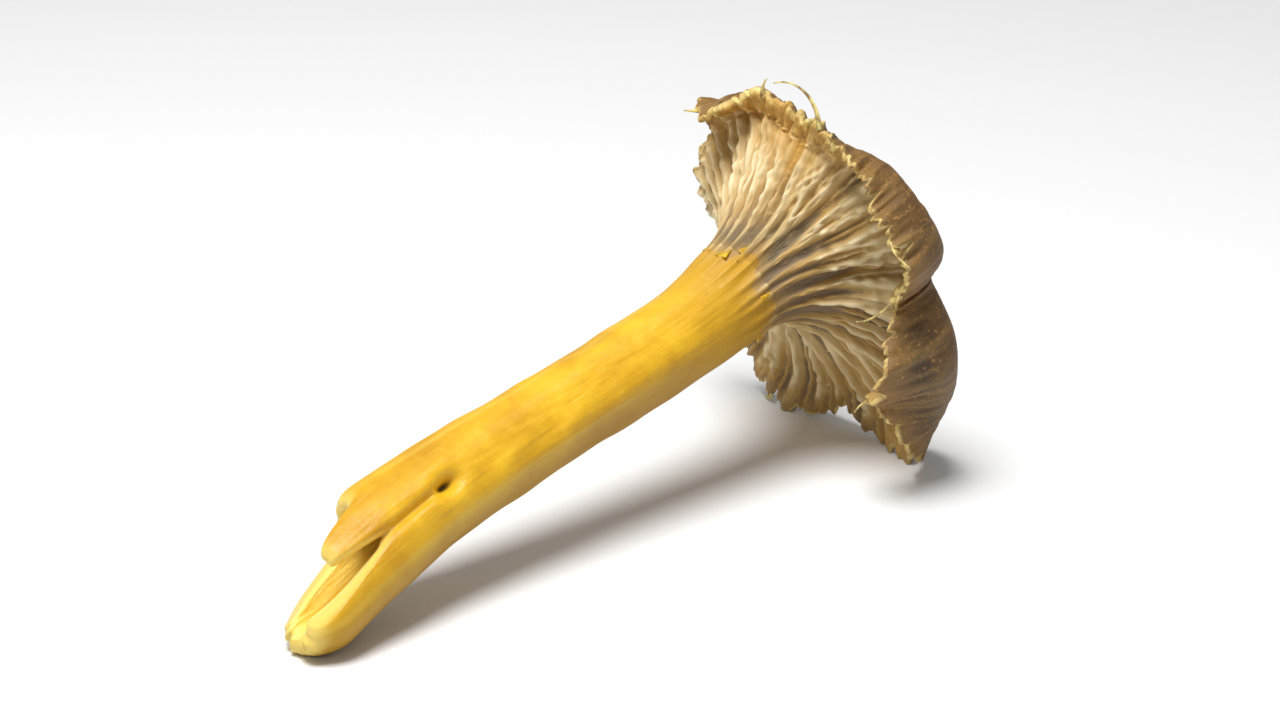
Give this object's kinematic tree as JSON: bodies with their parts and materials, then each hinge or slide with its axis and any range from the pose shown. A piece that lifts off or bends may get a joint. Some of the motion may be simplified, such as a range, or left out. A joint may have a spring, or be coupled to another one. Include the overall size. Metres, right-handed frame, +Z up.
{
  "type": "funnel chanterelle",
  "caption": "Picked funnel chanterelle lying on its side, with a golden hollow stem torn open at its base, forking ridges and a rolled wavy margin.",
  "frame": {"origin": "centre of the bounding box in x and y, on the surface that the mushroom lies on", "axes": "+X along the stem from its torn base to the cap, +Z up from the surface"},
  "size_m": [0.0732, 0.0356, 0.0362],
  "materials": {
    "ochre_flesh": "matt, faintly silky flesh"
  },
  "bodies": {
    "root": {"fruiting_body": "ochre_flesh"}
  },
  "joints": []
}
